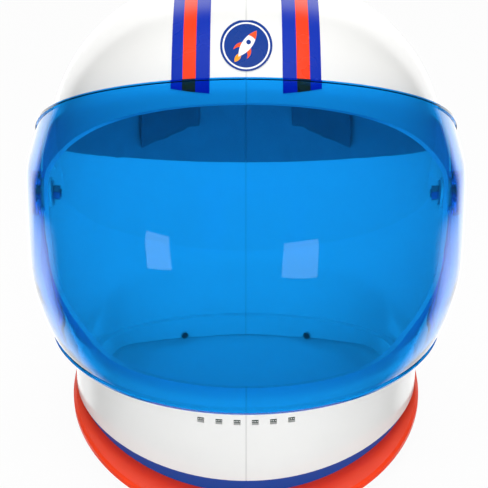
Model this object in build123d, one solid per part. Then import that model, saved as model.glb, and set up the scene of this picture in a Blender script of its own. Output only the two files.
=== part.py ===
from build123d import *
import math
import os

# Costume astronaut helmet, in millimetres
# The neck axis is vertical, the face looks along -Y and the wearer's left is +X
# Heights are measured from the flats that the collar ring stands on

# Shell, a thin moulding of revolution in two halves
shell_radius = 139.5
shell_wall = 3.0
crown_foot_z = 167.0
crown_height = 155.0
crown_squareness = 2.4
cheek_top_z = 160.0
cheek_radius = 260.0
neck_radius = 122.0
neck_fillet = 40.0
rim_front_z = 15.0
rim_rise = 15.0
spigot_radius = 117.5
spigot_wall = 3.0
spigot_lift = 1.0

# Tongue and groove along the seam between the two halves
tongue_thickness = 1.2
tongue_length = 3.0
tongue_foot_z = 45.0
groove_clearance = 0.1

# Face opening, seen from the side, as shares of the shell's radius and of its height
brow_start_shares = (-1.08, 0.968)
brow_middle_shares = (-0.472, 0.738)
brow_end_shares = (-0.158, 0.565)
jaw_start_shares = (-0.170, 0.412)
jaw_middle_shares = (-0.430, 0.352)
jaw_low_shares = (-0.640, 0.296)
chin_shares = (-0.800, 0.283)
front_shares = (-1.08, 0.283)

# Marks of the mould on the outside: a groove along the seam and two gates above the vents
mark_depth = 0.3
seam_groove_width = 0.6
gate_x = 8.0
gate_z = 66.0
gate_half_width = 2.2
gate_half_height = 1.0

# Vents under the chin and the mesh behind them
vent_width = 4.5
vent_height = 4.0
vent_count = 6
vent_pitch = 12.0
vent_z = 60.0
mesh_margin = 3.0
mesh_thickness = 0.9
mesh_gap = 0.2
mesh_hole = 1.0
mesh_hole_pitch = 1.5
mesh_holes_across = 3

# Hearing slots behind each ear
slot_width = 1.7
slot_height = 4.5
slot_first_y = 24.0
slot_low_z = 166.0
slot_step_y = 13.0
slot_step_z = 17.0
slot_stagger = 4.0

# Hinge at each ear, from the shell outwards
hinge_y = 5.0
hinge_z = 170.0
boss_radius = 11.0
boss_proud = 1.5
boss_depth = 1.5
thread_radius = 3.0
thread_clearance = 0.1
shoulder_radius = 4.2
running_clearance = 0.08
friction_washer_radius = 10.0
friction_washer_thickness = 1.0
axial_clearance = 0.2
ear_thickness = 3.8
screw_head_radius = 6.5
screw_head_height = 3.0
screw_slot_width = 1.6
screw_slot_depth = 1.2
cap_radius = 13.0
cap_height = 6.8
cap_crown = 3.2
cap_wall = 1.5
cap_side_clearance = 0.6
grip_clearance = 0.03
inner_washer_radius = 9.0
inner_washer_thickness = 1.2
nut_across_flats = 10.0
nut_height = 4.5
seat_gap = 0.02
thread_end = 1.0

# Visor, one moulding of revolution about its own upright axis ahead of the neck axis
visor_gap = 10.5
visor_forward = 9.0
visor_wall = 2.0
visor_middle_z = 165.0
visor_crown_gap = 8.0
visor_crown_squareness = 2.2
visor_foot_depth = 130.0
visor_foot_squareness = 3.0
visor_rear_y = 22.0
visor_bottom_z = 77.0
visor_top_at_axis_z = 225.0
visor_tilt = 33.8
visor_top_corner = 26.0
visor_bottom_corner = 40.0
lip_width = 4.2
lip_thickness = 2.0

# Collar ring, a saddle that dips at the front and back and rises at the sides
ring_half_width = 122.5
ring_half_depth = 148.0
ring_thickness = 6.0
ring_rise = 23.0
ring_sole_cut = 1.5
ring_bore_clearance = 0.1
ring_edge_chamfer = 1.6

# Collar screws, put in from inside the neck
left_screw_angles = (25.0, 90.0, 155.0)
collar_screw_radius = 1.5
collar_screw_length = 7.0
collar_head_radius = 2.8
collar_head_height = 1.6
collar_hole_clearance = 0.1
collar_head_gap = 0.1

# Neck band between the shell's rim and the ring
band_thickness = 2.2
band_gap = 0.1

# Foam inside
liner_gap = 0.3
liner_thickness = 3.0
liner_edge_z = 208.0
liner_edge_slope = 0.5
liner_setback = 4.0
liner_seam_gap = 0.4
nape_pad_thickness = 8.0
nape_pad_inner_x = 33.0
nape_pad_outer_x = 80.0
nape_pad_foot_z = 174.0
nape_pad_drop = 12.0
nape_pad_top_z = 230.0
crown_pad_radius = 55.0
crown_pad_thickness = 18.0

# Stick-on stripes and the round sticker on the forehead
sticker_thickness = 0.3
sticker_gap = 0.05
stripe_edges = (22.6, 31.4, 39.7, 46.8)
stripe_front_z = 283.0
stripe_back_z = 100.0
roundel_radius = 16.4
roundel_y = 76.0
roundel_axis_tilt = 20.0

overrun = 20.0
points_on_crown = 6

collar_screw_angles = left_screw_angles + tuple(-angle for angle in left_screw_angles)

# The whole part is set over the middle of its own footprint
visor_front = visor_forward + shell_radius + visor_gap
centre_shift = (visor_front - ring_half_depth) / 2
shell_top_z = crown_foot_z + crown_height
reach = shell_radius + visor_gap + overrun


def crown_curve(radius, height, foot_z, squareness, rising=True):
    """Quarter of a rounded square in the XZ plane, from the axis out to the widest point."""
    points = []
    for step in range(points_on_crown + 1):
        angle = math.radians(90 - 90 * step / points_on_crown)
        across = math.cos(angle) ** (2 / squareness) if step else 0
        up = math.sin(angle) ** (2 / squareness) if step < points_on_crown else 0
        points.append((radius * across, foot_z + (height if rising else -height) * up))
    return Spline(*points, tangents=((1, 0), (0, -1 if rising else 1)))


def turned(outline, turn=360):
    """Solid of revolution from a closed outline, swept from the back past the left ear."""
    downward = Axis((0, 0, 0), (0, 0, -1))
    return revolve(Plane.YZ * make_face(outline), axis=downward, revolution_arc=turn)


def half_cylinder(radius, height):
    """Left half of an upright cylinder about the neck axis, centred on the ground."""
    on_axis = (Align.NONE, Align.NONE, Align.CENTER)
    return Rot(0, 0, -90) * Cylinder(radius, height, arc_size=180, align=on_axis)


def shell_form(inset, turn=180):
    """Filled solid inside the shell's outer skin moved in by inset: its left half, or all of it."""
    radius = shell_radius - inset
    crown = crown_curve(radius, crown_height - inset, crown_foot_z, crown_squareness)
    side = Line((radius, crown_foot_z), (radius, cheek_top_z))
    centre_gap = cheek_radius + neck_fillet
    run = neck_radius + neck_fillet - (shell_radius - cheek_radius)
    drop = math.sqrt(centre_gap**2 - run**2)
    part_way = (cheek_radius - inset) / centre_gap
    join = (shell_radius - cheek_radius + run * part_way, cheek_top_z - drop * part_way)
    cheek = TangentArc((radius, cheek_top_z), join, tangent=(0, -1))
    neck_top = (neck_radius - inset, cheek_top_z - drop)
    fillet_arc = TangentArc(join, neck_top, tangent=cheek % 1)
    foot = (neck_radius - inset, -overrun)
    closing = Polyline(neck_top, foot, (0, -overrun), (0, crown_foot_z + crown_height - inset))
    return turned(crown + side + cheek + fillet_arc + closing, turn)


def visor_form(inset):
    """Filled solid inside the visor's outer skin moved in by inset."""
    radius = shell_radius + visor_gap - inset
    crown_rise = crown_height + visor_crown_gap - inset
    crown = crown_curve(radius, crown_rise, visor_middle_z, visor_crown_squareness)
    foot_depth = visor_foot_depth - inset
    foot = crown_curve(radius, foot_depth, visor_middle_z, visor_foot_squareness, rising=False)
    axis_line = Line((0, visor_middle_z - foot_depth), (0, visor_middle_z + crown_rise))
    return Pos(0, -visor_forward, 0) * turned(crown + foot + axis_line)


def saddle(radius, centre_z):
    """Cylinder lying along Y that trims the neck and the collar ring to a saddle."""
    return Pos(0, 0, centre_z) * Rot(90, 0, 0) * Cylinder(radius, 2 * reach)


def side_block(outline):
    """Block with the given side view (Y across, Z up), right through the helmet."""
    return extrude(Plane.YZ * outline, amount=reach, both=True)


def on_hinge(radius, inner_x, outer_x):
    """Disc on the left ear's hinge axis between two distances from the seam plane."""
    middle = Pos((inner_x + outer_x) / 2, hinge_y, hinge_z)
    return middle * Rot(0, 90, 0) * Cylinder(radius, outer_x - inner_x)


def both_sides(solid):
    """The left ear's solid and its mirror image for the right ear."""
    return {"left": solid, "right": mirror(solid, about=Plane.YZ)}


# Distances from the seam plane along the hinge axis
boss_face_x = shell_radius + boss_proud
boss_inner_x = shell_radius - shell_wall - boss_depth
washer_face_x = boss_face_x + friction_washer_thickness
ear_inner_x = washer_face_x + axial_clearance
ear_outer_x = ear_inner_x + ear_thickness
head_face_x = ear_outer_x + running_clearance
head_outer_x = head_face_x + screw_head_height
washer_inner_x = boss_inner_x - seat_gap - inner_washer_thickness
nut_inner_x = washer_inner_x - seat_gap - nut_height
shoulder_hole_radius = shoulder_radius + running_clearance
ear_radius = cap_radius + cap_side_clearance + visor_wall

# Saddles that trim the shell's rim and the collar ring
rim_radius = (neck_radius**2 + rim_rise**2) / (2 * rim_rise)
rim_centre_z = rim_front_z + rim_radius
ring_radius = (ring_half_width**2 + ring_rise**2) / (2 * ring_rise)
ring_centre_z = ring_radius - ring_sole_cut
ring_top_radius = ring_radius - ring_thickness


def face_outline():
    """Side view of the face opening: a sloping brow, a round rear corner and a jaw line."""
    places = []
    for y_share, z_share in (brow_start_shares, brow_middle_shares, brow_end_shares,
                             jaw_start_shares, jaw_middle_shares, jaw_low_shares,
                             chin_shares, front_shares):
        places.append((y_share * shell_radius, z_share * shell_top_z))
    brow = ThreePointArc(places[0], places[1], places[2])
    corner = TangentArc(places[2], places[3], tangent=brow % 1)
    jaw = Spline(*places[3:7], tangents=(corner % 1, (-1, 0)))
    chin = Line(places[6], places[7])
    front = Line(places[7], places[0])
    return make_face(brow + corner + jaw + chin + front)


def vent_cuts():
    """The left half of the row of small square vents under the chin."""
    cuts = Part()
    for place in range(vent_count // 2):
        x = (place + 1 / 2) * vent_pitch
        cuts += Pos(x, -neck_radius, vent_z) * Box(vent_width, 2 * overrun, vent_height)
    return cuts


def slot_cuts():
    """Four hearing slots through the shell behind the left ear, in two staggered columns."""
    cuts = Part()
    for column in range(2):
        for row in range(2):
            y = slot_first_y + column * slot_step_y
            z = slot_low_z + row * slot_step_z + column * slot_stagger
            cuts += Pos(shell_radius, y, z) * Box(2 * overrun, slot_width, slot_height)
    return cuts


def seam_layer(clearance):
    """Middle layer of the left half's wall, one tongue deep from the seam, grown by clearance."""
    from_skin = (shell_wall - tongue_thickness) / 2 - clearance
    layer = shell_form(from_skin) - shell_form(shell_wall - from_skin)
    above = shell_top_z - tongue_foot_z
    depth = tongue_length + clearance
    return layer & (Pos(depth / 2, 0, tongue_foot_z + above / 2) * Box(depth, 4 * reach, above))


def mould_marks():
    """Groove along the seam and one oval gate mark, on the outside of the left half."""
    layer = shell_form(-mark_depth) - shell_form(mark_depth)
    groove = Box(seam_groove_width, 4 * reach, 4 * shell_top_z)
    gate = Pos(gate_x, gate_z) * Ellipse(gate_half_width, gate_half_height)
    return layer & (groove + extrude(Plane.XZ * gate, amount=reach))


def shell_halves():
    """Two halves with a web and spigot at the neck and a tongue and groove on the seam."""
    skin = shell_form(0) & saddle(rim_radius, rim_centre_z)
    hollow = shell_form(shell_wall) & saddle(rim_radius - shell_wall, rim_centre_z)
    spigot = half_cylinder(spigot_radius, 2 * (rim_front_z + rim_rise))
    spigot &= saddle(ring_radius - spigot_lift, ring_centre_z)
    spigot -= Pos(0, 0, -reach) * Box(4 * reach, 4 * reach, 2 * (reach + spigot_lift))
    boss = on_hinge(boss_radius, boss_inner_x, boss_face_x)
    body = skin + spigot - hollow - half_cylinder(spigot_radius - spigot_wall, vent_z) + boss
    body -= side_block(face_outline())
    body -= on_hinge(thread_radius + thread_clearance, boss_inner_x - overrun, reach)
    body -= slot_cuts() + vent_cuts() + mould_marks()
    for angle in left_screw_angles:
        body -= collar_screw_hole(angle, collar_screw_radius + collar_hole_clearance)
    tongue = seam_layer(0) - side_block(face_outline())
    left = body - seam_layer(groove_clearance)
    right = mirror(body, about=Plane.YZ) + tongue
    return left, right


def collar_screw_place(angle):
    """Where a collar screw's axis crosses the spigot's bore, at the ring's mid height."""
    bore_radius = spigot_radius - spigot_wall
    x = bore_radius * math.sin(math.radians(angle))
    y = bore_radius * math.cos(math.radians(angle))
    middle_radius = ring_radius - ring_thickness / 2
    rim_x = ring_half_width * math.sin(math.radians(angle))
    z = ring_centre_z - math.sqrt(middle_radius**2 - rim_x**2)
    return Pos(x, y, z) * Rot(0, 0, -angle) * Rot(-90, 0, 0)


def collar_screw_hole(angle, radius):
    """Radial hole for a collar screw through the spigot and into the ring."""
    length = 2 * (collar_screw_length + collar_head_gap)
    return collar_screw_place(angle) * Cylinder(radius, length)


def collar_screws():
    """Pan-head screws whose heads lie on the spigot's bore."""
    screws = Part()
    for angle in collar_screw_angles:
        head_z = -collar_head_gap - collar_head_height / 2
        head = Pos(0, 0, head_z) * Cylinder(collar_head_radius, collar_head_height)
        shank_length = collar_screw_length + collar_head_gap
        shank_z = shank_length / 2 - collar_head_gap
        shank = Pos(0, 0, shank_z) * Cylinder(collar_screw_radius, shank_length)
        screws += collar_screw_place(angle) * (head + shank)
    return screws


def collar_ring():
    """Oval flange bent to a saddle, cut flat where it stands and bored for the spigot."""
    plan = extrude(Ellipse(ring_half_width, ring_half_depth), amount=ring_rise + 2 * ring_thickness)
    ring = Pos(0, 0, -ring_sole_cut) * plan
    ring = ring & saddle(ring_radius, ring_centre_z)
    ring -= saddle(ring_top_radius, ring_centre_z)
    rims = ring.edges().filter_by(lambda edge: edge.length > ring_half_width)
    ring = chamfer(rims, ring_edge_chamfer)
    ring -= Cylinder(spigot_radius + ring_bore_clearance, 4 * shell_radius)
    ring -= Pos(0, 0, -overrun / 2) * Box(2 * reach, 2 * reach, overrun)
    for angle in collar_screw_angles:
        ring -= collar_screw_hole(angle, collar_screw_radius + grip_clearance)
    return ring


def neck_band():
    """Blue band round the spigot, filling the gap between the rim and the ring."""
    tall = rim_front_z + rim_rise + overrun
    inner = Cylinder(spigot_radius + ring_bore_clearance, 2 * tall)
    band = Pos(0, 0, tall / 2) * Cylinder(spigot_radius + band_thickness, tall) - inner
    band &= saddle(ring_top_radius - band_gap, ring_centre_z)
    return band - saddle(rim_radius + band_gap, rim_centre_z)


def visor_outline():
    """Side view of the visor: a tilted top edge, an upright rear edge and a level bottom."""
    slope = math.tan(math.radians(visor_tilt))
    front_y = -reach - visor_forward
    top_front = (front_y, visor_top_at_axis_z - slope * front_y)
    top_rear = (visor_rear_y, visor_top_at_axis_z - slope * visor_rear_y)
    bottom_rear = (visor_rear_y, visor_bottom_z)
    bottom_front = (front_y, visor_bottom_z)
    corners = (visor_top_corner, visor_bottom_corner)
    edge = FilletPolyline(top_front, top_rear, bottom_rear, bottom_front, radius=corners)
    return make_face(edge + Line(bottom_front, top_front))


def visor():
    """Tinted visor with a lip all round and a sunk ear boss at each hinge."""
    outline = visor_outline()
    inner = visor_form(visor_wall)
    wall = (visor_form(0) - inner) & side_block(outline)
    edge = side_block(outline) - side_block(offset(outline, -lip_thickness))
    lip = (visor_form(-lip_width) - inner) & edge
    boss = on_hinge(ear_radius, ear_inner_x, shell_radius + visor_gap - visor_wall / 2)
    pocket = on_hinge(ear_radius - visor_wall, ear_outer_x, reach)
    hole = on_hinge(shoulder_hole_radius, ear_inner_x - visor_wall, reach)
    body = wall + lip + boss + mirror(boss, about=Plane.YZ)
    return body - pocket - mirror(pocket, about=Plane.YZ) - hole - mirror(hole, about=Plane.YZ)


def pivot_screw():
    """Shoulder screw for the left ear: slotted head, plain shoulder and threaded end."""
    thread_length = washer_face_x - nut_inner_x + thread_end
    head = on_hinge(screw_head_radius, head_face_x, head_outer_x)
    shoulder = on_hinge(shoulder_radius, boss_face_x + seat_gap, head_face_x)
    thread = on_hinge(thread_radius, washer_face_x - thread_length, washer_face_x)
    slot_x = head_outer_x - screw_slot_depth / 2
    slot = Pos(slot_x, hinge_y, hinge_z) * Box(screw_slot_depth, 2 * cap_radius, screw_slot_width)
    return head + shoulder + thread - slot


def friction_washer():
    """Thin washer between the shell's boss and the visor's ear."""
    disc = on_hinge(friction_washer_radius, boss_face_x + seat_gap, washer_face_x)
    return disc - on_hinge(shoulder_hole_radius, boss_inner_x, reach)


def inner_washer():
    """Washer under the nut, against the shell's inner boss."""
    disc = on_hinge(inner_washer_radius, washer_inner_x, boss_inner_x - seat_gap)
    return disc - on_hinge(thread_radius + thread_clearance, nut_inner_x, reach)


def pivot_nut():
    """Hexagon nut inside the shell."""
    flats = RegularPolygon(nut_across_flats / 2, 6, major_radius=False)
    hexagon = extrude(flats, amount=nut_height)
    nut = Pos(nut_inner_x, hinge_y, hinge_z) * Rot(0, 90, 0) * hexagon
    return nut - on_hinge(thread_radius + grip_clearance, nut_inner_x - overrun, reach)


def hinge_cap():
    """Hollow domed cap pushed over the head of the shoulder screw."""
    skirt = cap_height - cap_crown
    dome = TangentArc((0, cap_height), (cap_radius, skirt), tangent=(1, 0))
    outside = turned(dome + Polyline((cap_radius, skirt), (cap_radius, 0), (0, 0), (0, cap_height)))
    room = Cylinder(cap_radius - cap_wall, 2 * (skirt - cap_wall / 2))
    head_room = screw_head_radius + grip_clearance
    socket = Pos(0, 0, skirt / 2) * Cylinder(head_room + cap_wall, skirt)
    cap = (outside - room) + (socket & outside) - Cylinder(head_room, 2 * screw_head_height)
    return Pos(ear_outer_x + axial_clearance, hinge_y, hinge_z) * Rot(0, 90, 0) * cap


def vent_mesh():
    """Strip of fine mesh held against the inside of the chin, behind the vents."""
    outer = neck_radius - shell_wall - mesh_gap
    span = (vent_count - 1) * vent_pitch + vent_width + 2 * mesh_margin
    tall = vent_height + 2 * mesh_margin
    strip = Cylinder(outer, tall) - Cylinder(outer - mesh_thickness, tall)
    strip &= Pos(0, -outer, 0) * Box(span, outer, tall)
    grid = GridLocations(mesh_hole_pitch, mesh_hole_pitch, mesh_holes_across, mesh_holes_across)
    holes = Part()
    for place in range(vent_count):
        x = (place - (vent_count - 1) / 2) * vent_pitch
        for hole in grid:
            cell = hole * Box(mesh_hole, mesh_hole, outer)
            holes += Pos(x, -outer, 0) * Rot(90, 0, 0) * cell
    return Pos(0, 0, vent_z) * (strip - holes)


def crown_liner():
    """Left half of the foam liner in the crown, cut back from the face opening and the seam."""
    outer = shell_wall + liner_gap
    foam = shell_form(outer) - shell_form(outer + liner_thickness)
    low = -2 * reach
    edge = Polyline((low, liner_edge_z - liner_edge_slope * low), (low, 2 * shell_top_z),
                    (-low, 2 * shell_top_z), (-low, liner_edge_z + liner_edge_slope * low), close=True)
    foam &= side_block(make_face(edge))
    foam -= side_block(offset(face_outline(), liner_setback))
    return foam - Box(liner_seam_gap, 4 * reach, 4 * shell_top_z)


def nape_pad():
    """Softer pad on the liner at the wearer's left of the nape."""
    outer = shell_wall + 2 * liner_gap + liner_thickness
    pad = shell_form(outer) - shell_form(outer + nape_pad_thickness)
    outline = Polyline((nape_pad_inner_x, nape_pad_foot_z), (nape_pad_inner_x, nape_pad_top_z),
                       (nape_pad_outer_x, nape_pad_top_z),
                       (nape_pad_outer_x, nape_pad_foot_z - nape_pad_drop), close=True)
    block = extrude(Plane.XZ * make_face(outline), amount=-reach)
    return pad & block


def crown_pad():
    """Foam pad under the top of the crown that carries the helmet on the head."""
    outer = shell_wall + 2 * liner_gap + liner_thickness
    pad = shell_form(outer, 360) - shell_form(outer + crown_pad_thickness, 360)
    return pad & (Pos(0, 0, shell_top_z) * Cylinder(crown_pad_radius, 2 * (shell_top_z - crown_foot_z)))


def sticker_skin(turn=180):
    """Layer of sticker thickness just clear of the shell's outside."""
    return shell_form(-sticker_gap - sticker_thickness, turn) - shell_form(-sticker_gap, turn)


def stripe(inner_edge, outer_edge):
    """Band over the crown on the wearer's left, between two distances from the seam."""
    middle = (inner_edge + outer_edge) / 2
    width = outer_edge - inner_edge
    back_height = 2 * shell_top_z - stripe_back_z
    back = Pos(middle, reach, stripe_back_z + back_height / 2) * Box(width, 2 * reach, back_height)
    front_height = 2 * shell_top_z - stripe_front_z
    front = Pos(middle, -reach, stripe_front_z + front_height / 2) * Box(width, 2 * reach, front_height)
    return sticker_skin() & (back + front)


def roundel():
    """Round sticker on the front of the crown, cut so that it looks round from ahead."""
    height = crown_foot_z + (crown_height * (1 - (roundel_y / shell_radius) ** crown_squareness)
                             ** (1 / crown_squareness))
    cutter = Rot(90 - roundel_axis_tilt, 0, 0) * Cylinder(roundel_radius, 2 * roundel_radius)
    return sticker_skin(360) & (Pos(0, -roundel_y, height) * cutter)


def save(name, solid):
    """Write one node over the middle of the footprint."""
    solid = Pos(0, centre_shift, 0) * solid
    solid.label = name
    export_step(solid, f"parts/{name}.step")


os.makedirs("parts", exist_ok=True)
shell_left, shell_right = shell_halves()
save("shell_left", shell_left)
save("shell_right", shell_right)
save("visor", visor())
save("collar_ring", collar_ring())
save("collar_screws", collar_screws())
save("neck_band", neck_band())
save("chin_vent_mesh", vent_mesh())
save("crown_pad", crown_pad())
save("roundel", roundel())

blue_bands = stripe(*stripe_edges[0:2]) + stripe(*stripe_edges[2:4])
paired_pieces = {
    "pivot_screw": pivot_screw(),
    "pivot_washer": friction_washer(),
    "inner_washer": inner_washer(),
    "pivot_nut": pivot_nut(),
    "hinge_cap": hinge_cap(),
    "crown_liner": crown_liner(),
    "nape_pad": nape_pad(),
    "stripe_blue": blue_bands,
    "stripe_orange": stripe(*stripe_edges[1:3]),
}
for piece, solid in paired_pieces.items():
    for side, placed in both_sides(solid).items():
        save(f"{piece}_{side}", placed)
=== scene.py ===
import math

import bpy
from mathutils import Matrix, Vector


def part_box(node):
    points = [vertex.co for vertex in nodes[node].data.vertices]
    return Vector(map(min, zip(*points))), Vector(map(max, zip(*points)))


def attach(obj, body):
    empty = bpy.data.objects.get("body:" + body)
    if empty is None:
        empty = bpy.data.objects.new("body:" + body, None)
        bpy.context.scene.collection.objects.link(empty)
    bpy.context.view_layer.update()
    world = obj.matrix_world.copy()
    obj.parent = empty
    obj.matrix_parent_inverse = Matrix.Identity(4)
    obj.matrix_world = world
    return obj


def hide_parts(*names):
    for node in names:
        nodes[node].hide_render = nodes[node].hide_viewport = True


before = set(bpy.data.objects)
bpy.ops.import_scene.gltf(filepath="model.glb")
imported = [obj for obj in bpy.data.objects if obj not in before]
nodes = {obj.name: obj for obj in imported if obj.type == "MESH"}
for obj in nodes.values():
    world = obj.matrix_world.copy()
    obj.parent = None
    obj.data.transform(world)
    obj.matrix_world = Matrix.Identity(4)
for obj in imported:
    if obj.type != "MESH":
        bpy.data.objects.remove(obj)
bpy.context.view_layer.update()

scene = bpy.context.scene

# Camera
# It stands 1.3 m ahead of the helmet and looks down at it by 25 degrees. The lens frames the
# helmet's face and leaves the top of its crown out.
look_at = Vector((-0.0014, 0.0055, 0.133))
camera_distance = 1.3
camera_elevation = math.radians(25)
camera_data = bpy.data.cameras.new("camera")
camera_data.sensor_width = 36
camera_data.lens = 136.6
camera = bpy.data.objects.new("camera", camera_data)
scene.collection.objects.link(camera)
ahead = Vector((0, -math.cos(camera_elevation), math.sin(camera_elevation)))
camera.location = look_at + camera_distance * ahead
camera.rotation_euler = (math.radians(90) - camera_elevation, 0, 0)
scene.camera = camera
scene.view_settings.view_transform = "Standard"

# Studio floor
# A pale matt board that keeps the helmet's shadow. To the eye it glows a little, so that it runs
# out into the white behind the helmet.


def from_hex(code):
    """sRGB hex colour as the linear colour that a shader takes."""
    shares = [int(code[start:start + 2], 16) / 255 for start in (1, 3, 5)]
    linear = [s / 12.92 if s <= 0.04045 else ((s + 0.055) / 1.055) ** 2.4 for s in shares]
    return (*linear, 1)


def add_node(tree, kind, links=(), settings=(), **values):
    """Adds a node: links are pairs of its socket and a source, settings its own properties."""
    node = tree.nodes.new("ShaderNode" + kind)
    for name, value in settings:
        setattr(node, name, value)
    for name, value in values.items():
        node.inputs[name.replace("_", " ")].default_value = value
    for socket, source in links:
        tree.links.new(source, node.inputs[socket])
    return node


def new_material(name):
    """Material with an empty node tree, the tree, and the function that ends it in a shader."""
    material = bpy.data.materials.new(name)
    material.use_nodes = True
    tree = material.node_tree
    tree.nodes.clear()
    output = tree.nodes.new("ShaderNodeOutputMaterial")
    return material, tree, lambda shader: tree.links.new(shader.outputs[0], output.inputs[0])


floor_width = 6.0
board_colour = "#EDEDED"
board_glow_share = 0.94
bpy.ops.object.select_all(action="DESELECT")
bpy.ops.mesh.primitive_plane_add(size=floor_width)
floor = bpy.context.object
floor.name = "studio_floor"
floor.visible_glossy = False
floor_material, tree, finish_with = new_material("matt white board")
board = add_node(tree, "BsdfDiffuse", Color=from_hex(board_colour))
glow = add_node(tree, "Emission", Color=(1, 1, 1, 1), Strength=1.0)
light_path = add_node(tree, "LightPath")
to_eye = add_node(tree, "Math", [(0, light_path.outputs["Is Camera Ray"])],
                  [("operation", "MULTIPLY")])
to_eye.inputs[1].default_value = board_glow_share
finish_with(add_node(tree, "MixShader", [("Fac", to_eye.outputs[0]), (1, board.outputs[0]),
                                         (2, glow.outputs[0])]))
floor.data.materials.append(floor_material)

# Studio light
# The room is white to the eye. To gloss it is dark, apart from a white wall and board behind the
# helmet, so the visor goes pale along its outline. Two small soft boxes ahead show on it as panes,
# and the front, top and inner lamps only light, without showing.
room_strength = 0.25
dark_room_strength = 0.02
board_strength = 1.6
board_behind = (0.35, 0.6)
board_below = (-0.34, -0.46)
wall_behind = (0.68, 0.8)

world = bpy.data.worlds.new("studio")
scene.world = world
world.use_nodes = True
tree = world.node_tree
tree.nodes.clear()
direction = add_node(tree, "TexCoord")
split = add_node(tree, "SeparateXYZ", [(0, direction.outputs["Generated"])])
behind = add_node(tree, "MapRange", [("Value", split.outputs["Y"])],
                  [("interpolation_type", "SMOOTHSTEP")], From_Min=board_behind[0],
                  From_Max=board_behind[1])
below = add_node(tree, "MapRange", [("Value", split.outputs["Z"])],
                 [("interpolation_type", "SMOOTHSTEP")], From_Min=board_below[0],
                 From_Max=board_below[1])
behind_and_below = add_node(tree, "Math", [(0, behind.outputs[0]), (1, below.outputs[0])],
                            [("operation", "MULTIPLY")])
wall = add_node(tree, "MapRange", [("Value", split.outputs["Y"])],
                [("interpolation_type", "SMOOTHSTEP")], From_Min=wall_behind[0],
                From_Max=wall_behind[1])
wall_or_board = add_node(tree, "Math", [(0, behind_and_below.outputs[0]), (1, wall.outputs[0])],
                         [("operation", "MAXIMUM")])
pale = add_node(tree, "MapRange", [("Value", wall_or_board.outputs[0])],
                To_Min=dark_room_strength, To_Max=board_strength)
light_path = add_node(tree, "LightPath")
seen = add_node(tree, "Math", [(0, light_path.outputs["Is Camera Ray"]),
                               (1, light_path.outputs["Is Transmission Ray"])],
                [("operation", "MAXIMUM")])
room = add_node(tree, "Background", Color=(1, 1, 1, 1), Strength=room_strength)
white = add_node(tree, "Background", Color=(1, 1, 1, 1), Strength=1.0)
gloss = add_node(tree, "Background", [("Strength", pale.outputs[0])], Color=(1, 1, 1, 1))
lit_or_seen = add_node(tree, "MixShader", [("Fac", seen.outputs[0]), (1, room.outputs[0]),
                                           (2, white.outputs[0])])
all_rays = add_node(tree, "MixShader", [("Fac", light_path.outputs["Is Glossy Ray"]),
                                        (1, lit_or_seen.outputs[0]), (2, gloss.outputs[0])])
world_output = tree.nodes.new("ShaderNodeOutputWorld")
tree.links.new(all_rays.outputs[0], world_output.inputs["Surface"])


def add_lamp(name, place, target, width, height, power):
    """Rectangular area lamp that stands at place and faces target."""
    lamp_data = bpy.data.lights.new(name, "AREA")
    lamp_data.shape = "RECTANGLE"
    lamp_data.size = width
    lamp_data.size_y = height
    lamp_data.energy = power
    lamp = bpy.data.objects.new(name, lamp_data)
    scene.collection.objects.link(lamp)
    lamp.location = place
    lamp.rotation_euler = (Vector(target) - Vector(place)).to_track_quat("-Z", "Y").to_euler()
    return lamp


visor_front = (0, -0.145, 0.195)
add_lamp("soft_box_left", (-0.331, -0.428, 0.135), visor_front, width=0.105, height=0.22,
         power=0.1)
add_lamp("soft_box_right", (0.211, -0.501, 0.126), visor_front, width=0.145, height=0.22,
         power=0.12)
front_light = add_lamp("front_light", (0.12, -1.8, 0.85), (0, 0, 0.18), width=1.0, height=0.7,
                       power=20.0)
top_light = add_lamp("top_light", (0, 0.1, 1.9), (0, 0, 0.2), width=1.8, height=1.8, power=27.0)
inner_light = add_lamp("inner_light", (0, -0.085, 0.19), (0, 0.13, 0.19), width=0.16, height=0.1,
                       power=0.22)
for lamp in (front_light, top_light, inner_light):
    lamp.visible_camera = False
    lamp.visible_glossy = False
    lamp.visible_transmission = False

# Shell
# Two thin halves of white ABS, injection moulded and joined on the centre line. The mould leaves
# a high gloss with a faint orange peel, and the white is a little uneven.


def mottled(tree, place, colour, spread, patch_mm):
    """Colour that wanders by spread either way over patches of the given size."""
    patches = add_node(tree, "TexNoise", [("Vector", place.outputs["Object"])],
                       Scale=1000 / patch_mm, Detail=3.0)
    value = add_node(tree, "MapRange", [("Value", patches.outputs[0])], From_Min=0.3,
                     From_Max=0.7, To_Min=1 - spread, To_Max=1 + spread)
    return add_node(tree, "HueSaturation", [("Value", value.outputs[0])], Color=from_hex(colour))


def uneven(tree, place, low, high, grain_mm):
    """Roughness that wanders between two values."""
    grain = add_node(tree, "TexNoise", [("Vector", place.outputs["Object"])],
                     Scale=1000 / grain_mm, Detail=2.0)
    return add_node(tree, "MapRange", [("Value", grain.outputs[0])], From_Min=0.3,
                    From_Max=0.7, To_Min=low, To_Max=high)


def relief(tree, place, grain_mm, depth_mm):
    """Bump of a rounded grain of the given size and depth."""
    grain = add_node(tree, "TexNoise", [("Vector", place.outputs["Object"])],
                     Scale=1000 / grain_mm, Detail=2.0)
    return add_node(tree, "Bump", [("Height", grain.outputs[0])], Strength=1.0,
                    Distance=depth_mm / 1000)


def plastic(name, colour, low, high, ior, grain_mm, depth_mm, spread=0.015):
    """Moulded plastic with a wandering gloss and a fine relief."""
    material, tree, finish_with = new_material(name)
    place = add_node(tree, "TexCoord")
    finish_with(add_node(tree, "BsdfPrincipled", [
        ("Base Color", mottled(tree, place, colour, spread, 60).outputs[0]),
        ("Roughness", uneven(tree, place, low, high, 25).outputs[0]),
        ("Normal", relief(tree, place, grain_mm, depth_mm).outputs[0])], IOR=ior))
    return material


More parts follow.
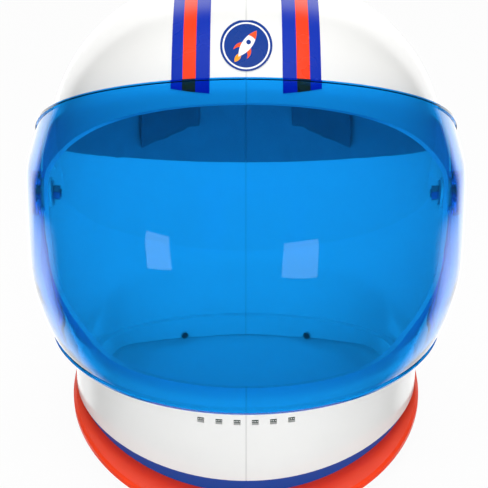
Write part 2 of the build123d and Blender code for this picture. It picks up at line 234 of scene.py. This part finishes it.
def give(material, *names):
    """Gives CAD nodes one material."""
    for name in names:
        nodes[name].data.materials.clear()
        nodes[name].data.materials.append(material)


# Painted shade: the white is darkened in a narrow band along the centre line where the halves
# meet, standing in for the shade in the parting groove.
groove_edge = (0.0004, 0.0007)
painted_groove_shade = 0.85
white_abs = plastic("white ABS, moulded", "#EDEDEB", 0.12, 0.2, 1.54, 9, 0.004)
shell_abs = white_abs.copy()
shell_abs.name = "white ABS, moulded, with a parting groove"
tree = shell_abs.node_tree
surface = next(node for node in tree.nodes if node.type == "BSDF_PRINCIPLED")
white = surface.inputs["Base Color"].links[0].from_socket
split = add_node(tree, "SeparateXYZ", [(0, add_node(tree, "TexCoord").outputs["Object"])])
from_seam = add_node(tree, "Math", [(0, split.outputs["X"])], [("operation", "ABSOLUTE")])
groove = add_node(tree, "MapRange", [("Value", from_seam.outputs[0])], From_Min=groove_edge[0],
                  From_Max=groove_edge[1], To_Min=painted_groove_shade, To_Max=1.0)
shaded = add_node(tree, "HueSaturation", [("Color", white), ("Value", groove.outputs[0])])
tree.links.new(shaded.outputs[0], surface.inputs["Base Color"])
give(shell_abs, "shell_left", "shell_right")

# Collar ring and its screws
# Orange ABS, moulded in one piece and screwed to the shell's spigot from inside. Its gloss is a
# little softer than the shell's. This copy of the CAD ring has a squarer plan.
orange_abs = plastic("orange ABS, moulded", "#FF3C02", 0.4, 0.5, 1.54, 5, 0.006)
neck_y = 0.0055
ring_bore = 0.1176
bore_skin = 0.0005
half_width, half_depth = 0.1225, 0.148
seen_half_width, seen_squareness = 0.124, 2.25
saddle_radius = 0.3347
sole_z = 0.0005
collar = nodes["collar_ring"].copy()
collar.data = nodes["collar_ring"].data.copy()
collar.name = "collar_ring_squarer"
scene.collection.objects.link(collar)
for vertex in collar.data.vertices:
    x, y, z = vertex.co
    y -= neck_y
    reach = math.hypot(x, y)
    if reach < ring_bore + bore_skin:
        continue
    side, front = abs(x) / reach, abs(y) / reach
    oval = 1 / math.hypot(side / half_width, front / half_depth)
    squarer = ((side / seen_half_width)**seen_squareness
               + (front / half_depth)**seen_squareness)**(-1 / seen_squareness)
    out = (ring_bore + (reach - ring_bore) * (squarer - ring_bore) / (oval - ring_bore)) / reach
    rise = math.sqrt(saddle_radius**2 - x**2) - math.sqrt(saddle_radius**2 - (x * out)**2)
    vertex.co = (x * out, y * out + neck_y, z + rise if z > sole_z else z)
collar.data.materials.clear()
collar.data.materials.append(orange_abs)
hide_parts("collar_ring")
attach(collar, "shell")
# The ring casts no orange light on the neck above it
collar.visible_diffuse = False

steel, tree, finish_with = new_material("steel, zinc plated")
place = add_node(tree, "TexCoord")
finish_with(add_node(tree, "BsdfPrincipled", [
    ("Roughness", uneven(tree, place, 0.25, 0.45, 0.8).outputs[0]),
    ("Normal", relief(tree, place, 0.5, 0.01).outputs[0])],
    Base_Color=from_hex("#C6C9CB"), Metallic=1.0))
give(steel, "collar_screws")

# Neck band
# Blue vinyl strip between the rim and the ring. Its gloss is softer than the shell's.
blue_vinyl = plastic("blue vinyl, calendered", "#0648A0", 0.3, 0.4, 1.52, 2, 0.004)
give(blue_vinyl, "neck_band")

# Hinges
# White ABS caps hide zinc plated shoulder screws. Nylon washers keep the visor's ears from
# rubbing on the shell, and a steel washer and nut hold each screw inside.
give(white_abs, "hinge_cap_left", "hinge_cap_right")
give(plastic("natural nylon, moulded", "#DCDBD3", 0.35, 0.5, 1.53, 3, 0.01),
     "pivot_washer_left", "pivot_washer_right")
give(steel, "pivot_screw_left", "pivot_screw_right", "inner_washer_left", "inner_washer_right",
     "pivot_nut_left", "pivot_nut_right")

# Visor
# Polycarbonate dyed blue through, an untinted sheet to lamps so that they reach the inside. This
# copy of the CAD visor has a narrower lip, and normals evened out along each height, since the
# mesh's own are noisy and bend what shows through.
visor_tint = from_hex("#12A2FF")
blue_pc, tree, finish_with = new_material("polycarbonate, dyed blue")
place = add_node(tree, "TexCoord")
clear_sheet = add_node(tree, "BsdfPrincipled", [
    ("Normal", relief(tree, place, 45, 0.02).outputs[0])],
    Base_Color=visor_tint, Roughness=0.02, IOR=1.585, Transmission_Weight=1.0)
light_path = add_node(tree, "LightPath")
lamp_sheet = add_node(tree, "BsdfTransparent", Color=(1, 1, 1, 1))
finish_with(add_node(tree, "MixShader", [("Fac", light_path.outputs["Is Shadow Ray"]),
                                         (1, clear_sheet.outputs[0]), (2, lamp_sheet.outputs[0])]))
visor = nodes["visor"].copy()
visor.data = nodes["visor"].data.copy()
visor.name = "visor_with_narrow_lip"
scene.collection.objects.link(visor)
visor_axis_y = -0.0035
visor_middle_z = 0.165
visor_radius = 0.150
visor_rise = 0.163
visor_drop = 0.130
crown_power = 2.2
foot_power = 3.0
moulded_lip = 0.0042
seen_lip = 0.0012
half_lip = (moulded_lip + seen_lip) / 2
inward = (visor_radius + seen_lip) / (visor_radius + moulded_lip)
on_skin = 0.97
row_height = 0.004
outward = []
for vertex in visor.data.vertices:
    x, y, z = vertex.co
    y -= visor_axis_y
    z -= visor_middle_z
    reach = math.hypot(x, y)
    span, power = (visor_rise, crown_power) if z > 0 else (visor_drop, foot_power)
    if (reach / (visor_radius + half_lip))**power + (abs(z) / (span + half_lip))**power > 1:
        downward = (span + seen_lip) / (span + moulded_lip)
        vertex.co = (x * inward, y * inward + visor_axis_y, z * downward + visor_middle_z)
    slope = reach**(power - 1) / visor_radius**power
    rise = math.copysign(abs(z)**(power - 1) / span**power, z)
    outward.append(Vector((x / reach * slope, y / reach * slope, rise)).normalized())
corners = []
samples = {}
for corner, cad_normal in zip(visor.data.loops, nodes["visor"].data.corner_normals):
    normal = cad_normal.vector.copy()
    lean = outward[corner.vertex_index].dot(normal)
    side = 1 if lean > on_skin else -1 if lean < -on_skin else 0
    height = nodes["visor"].data.vertices[corner.vertex_index].co.z
    corners.append((corner.vertex_index, side, height, normal))
    tilt = math.asin(max(-1, min(1, side * normal.z)))
    samples.setdefault((side, int(height / row_height)), []).append((height, tilt))
rows = {1: [], 0: [], -1: []}
for (side, _), found in samples.items():
    mean_height = sum(height for height, _ in found) / len(found)
    tilts = sorted(tilt for _, tilt in found)
    rows[side].append((mean_height, tilts[len(tilts) // 2]))
for side_rows in rows.values():
    side_rows.sort()


def tilt_at(height, side):
    """The skin's tilt at a height, between the two nearest rows of the CAD mesh."""
    side_rows = rows[side]
    above = next((i for i, row in enumerate(side_rows) if row[0] > height), len(side_rows) - 1)
    above = max(above, 1)
    (low, first), (high, last) = side_rows[above - 1], side_rows[above]
    return first + max(0, min(1, (height - low) / (high - low))) * (last - first)


normals = []
for index, side, height, normal in corners:
    if side:
        tilt = tilt_at(height, side)
        radial = Vector((outward[index].x, outward[index].y, 0)).normalized()
        normal = side * (radial * math.cos(tilt) + Vector((0, 0, math.sin(tilt))))
    normals.append(normal)
visor.data.normals_split_custom_set(normals)
visor.data.materials.clear()
visor.data.materials.append(blue_pc)
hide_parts("visor")
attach(visor, "visor")

# Crown liner and pads
# Grey polyurethane foam. The liner is a thin skived sheet in two halves, and the thick pads at the
# nape and under the crown are cut blocks with swollen, rounded edges.


def foam(name, colour):
    """Open foam: matt, with cells that show as a fine pitted relief."""
    material, tree, finish_with = new_material(name)
    place = add_node(tree, "TexCoord")
    cells = add_node(tree, "TexVoronoi", [("Vector", place.outputs["Object"])],
                     Scale=1000 / foam_cell_mm)
    pits = add_node(tree, "Bump", [("Height", cells.outputs["Distance"])], Strength=1.0,
                    Distance=foam_cell_mm / 4000)
    finish_with(add_node(tree, "BsdfPrincipled", [
        ("Base Color", mottled(tree, place, colour, 0.06, 12).outputs[0]),
        ("Normal", pits.outputs[0])], Roughness=0.95, IOR=1.5, Sheen_Weight=0.15))
    return material


def soft_piece(name, node, voxel, shrink, material):
    """Merged copy of a CAD node, remeshed and drawn in where voxel and shrink aren't 0."""
    piece = nodes[node].copy()
    piece.data = nodes[node].data.copy()
    piece.name = name
    scene.collection.objects.link(piece)
    bpy.ops.object.select_all(action="DESELECT")
    piece.select_set(True)
    bpy.context.view_layer.objects.active = piece
    bpy.ops.object.mode_set(mode="EDIT")
    bpy.ops.mesh.select_all(action="SELECT")
    bpy.ops.mesh.remove_doubles(threshold=1e-6)
    bpy.ops.object.mode_set(mode="OBJECT")
    if voxel:
        remesh = piece.modifiers.new("remesh", "REMESH")
        remesh.mode = "VOXEL"
        remesh.voxel_size = voxel
        bpy.ops.object.modifier_apply(modifier=remesh.name)
    if shrink:
        draw_in = piece.modifiers.new("draw in", "DISPLACE")
        draw_in.strength = -shrink
        draw_in.mid_level = 0
        bpy.ops.object.modifier_apply(modifier=draw_in.name)
    piece.data.materials.clear()
    piece.data.materials.append(material)
    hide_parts(node)
    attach(piece, "shell")
    return piece


def swell(piece, pressure, most):
    """Blows the pad up as cloth, and lets no point move further than most."""
    rest = [vertex.co.copy() for vertex in piece.data.vertices]
    cloth = piece.modifiers.new("cloth", "CLOTH")
    cloth.settings.use_pressure = True
    cloth.settings.uniform_pressure_force = pressure
    cloth.settings.effector_weights.gravity = 0
    for frame_number in range(1, 21):
        scene.frame_set(frame_number)
    blown = piece.evaluated_get(bpy.context.evaluated_depsgraph_get()).data
    moved = [vertex.co.copy() for vertex in blown.vertices]
    piece.modifiers.remove(cloth)
    scene.frame_set(1)
    for vertex, start, end in zip(piece.data.vertices, rest, moved):
        step = end - start
        vertex.co = start + step * min(1, most / max(step.length, 1e-9))


def round_off(piece):
    """Smooths the piece's skin and subdivides it once."""
    smooth = piece.modifiers.new("smooth", "SMOOTH")
    smooth.factor = 0.5
    smooth.iterations = 4
    bpy.ops.object.modifier_apply(modifier=smooth.name)
    finer = piece.modifiers.new("finer", "SUBSURF")
    finer.levels = 1
    finer.render_levels = 1
    bpy.ops.object.modifier_apply(modifier=finer.name)
    bpy.ops.object.shade_smooth()


foam_cell_mm = 0.8
liner_edge = 0.0008
nape_voxel, nape_swell = 0.003, 0.0012
crown_voxel, crown_swell = 0.004, 0.002
foam_pressure = 4
liner_foam = foam("grey polyurethane foam, skived", "#8A8E98")
pad_foam = foam("dark polyurethane foam, cut", "#666974")
for side in ("left", "right"):
    liner = soft_piece("foam_liner_" + side, "crown_liner_" + side, 0, 0, liner_foam)
    edges = liner.modifiers.new("soft edges", "BEVEL")
    edges.width = liner_edge
    edges.segments = 2
    edges.angle_limit = math.radians(40)
    bpy.ops.object.modifier_apply(modifier=edges.name)
    bpy.ops.object.shade_smooth()
    nape = soft_piece("foam_nape_pad_" + side, "nape_pad_" + side, nape_voxel, nape_swell,
                      pad_foam)
    swell(nape, foam_pressure, nape_swell)
    round_off(nape)
crown = soft_piece("foam_crown_pad", "crown_pad", crown_voxel, crown_swell, pad_foam)
swell(crown, foam_pressure, crown_swell)
round_off(crown)

# Vent mesh
# Grey-green polypropylene strip moulded with a fine square mesh, welded inside the chin.
give(plastic("polypropylene, grey green", "#40544A", 0.45, 0.6, 1.49, 1, 0.01), "chin_vent_mesh")

# Stripes
# Printed vinyl film in blue and orange, cut in bands and stuck over the crown.
orange_vinyl = plastic("orange vinyl, calendered", "#FA3C0E", 0.22, 0.3, 1.52, 2, 0.003)
stripe_vinyl = plastic("stripe blue vinyl, calendered", "#0630AE", 0.22, 0.3, 1.52, 2, 0.003)
give(stripe_vinyl, "stripe_blue_left", "stripe_blue_right")
give(orange_vinyl, "stripe_orange_left", "stripe_orange_right")

# Round sticker
# Vinyl disc with a plain printed emblem: a white ring round a small rocket with orange fins.
# The emblem is drawn flat, as seen along the sticker's own axis.
sticker_low, sticker_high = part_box("roundel")
sticker_middle = (Vector(sticker_low) + Vector(sticker_high)) / 2
sticker_tilt = math.radians(20)
rocket_lean = math.radians(-35)
flat_right = Vector((1, 0, 0))
flat_up = Vector((0, math.sin(sticker_tilt), math.cos(sticker_tilt)))
along = flat_up * math.cos(rocket_lean) - flat_right * math.sin(rocket_lean)
across = flat_right * math.cos(rocket_lean) + flat_up * math.sin(rocket_lean)

emblem, tree, finish_with = new_material("printed vinyl disc")
place = add_node(tree, "TexCoord")
from_middle = add_node(tree, "VectorMath", [(0, place.outputs["Object"])],
                       [("operation", "SUBTRACT")])
from_middle.inputs[1].default_value = sticker_middle


def measure(axis):
    """Millimetres from the sticker's middle along an axis."""
    dot = add_node(tree, "VectorMath", [(0, from_middle.outputs[0])],
                   [("operation", "DOT_PRODUCT")])
    dot.inputs[1].default_value = axis * 1000
    return dot.outputs["Value"]


flat = add_node(tree, "CombineXYZ", [("X", measure(across)), ("Y", measure(along))])


def inside_circle(x, y, radius):
    """1 inside a circle of the emblem and 0 outside it, in millimetres."""
    reach = add_node(tree, "VectorMath", [(0, flat.outputs[0])], [("operation", "DISTANCE")])
    reach.inputs[1].default_value = (x, y, 0)
    edge = add_node(tree, "MapRange", [("Value", reach.outputs["Value"])],
                    From_Min=radius - 0.06, From_Max=radius + 0.06, To_Min=1.0, To_Max=0.0)
    return edge.outputs[0]


def combine(operation, first, second):
    """Two masks combined: MINIMUM is where both are, SUBTRACT where only the first is."""
    return add_node(tree, "Math", [(0, first), (1, second)],
                    [("operation", operation), ("use_clamp", True)]).outputs[0]


def leaf(y, half_width, half_height):
    """Pointed oval on the rocket's axis, where two circles overlap."""
    radius = (half_width**2 + half_height**2) / (2 * half_width)
    aside = radius - half_width
    return combine("MINIMUM", inside_circle(-aside, y, radius), inside_circle(aside, y, radius))


def paint(under, mask, colour):
    """Colour laid over what is under it, where the mask is."""
    mix = add_node(tree, "Mix", [("Factor", mask)], [("data_type", "RGBA")])
    mix.inputs[7].default_value = from_hex(colour)
    if isinstance(under, str):
        mix.inputs[6].default_value = from_hex(under)
    else:
        tree.links.new(under, mix.inputs[6])
    return mix.outputs[2]


ring = combine("SUBTRACT", inside_circle(0, 0, 14.9), inside_circle(0, 0, 13.9))
body = leaf(1.5, 3.3, 10.0)
fins = combine("SUBTRACT", inside_circle(0, -4.4, 5.6), inside_circle(0, -7.6, 5.2))
nose = combine("SUBTRACT", body, inside_circle(0, -2.0, 8.6))
picture = paint("#0B3A90", ring, "#F2F3F4")
picture = paint(picture, leaf(-9.2, 1.6, 3.4), "#F9A11B")
picture = paint(picture, fins, "#F4511E")
picture = paint(picture, body, "#F2F3F4")
picture = paint(picture, nose, "#F4511E")
picture = paint(picture, inside_circle(0, 2.6, 1.5), "#0B3A90")
finish_with(add_node(tree, "BsdfPrincipled", [
    ("Base Color", picture), ("Roughness", uneven(tree, place, 0.22, 0.3, 25).outputs[0]),
    ("Normal", relief(tree, place, 2, 0.003).outputs[0])], IOR=1.52))
give(emblem, "roundel")
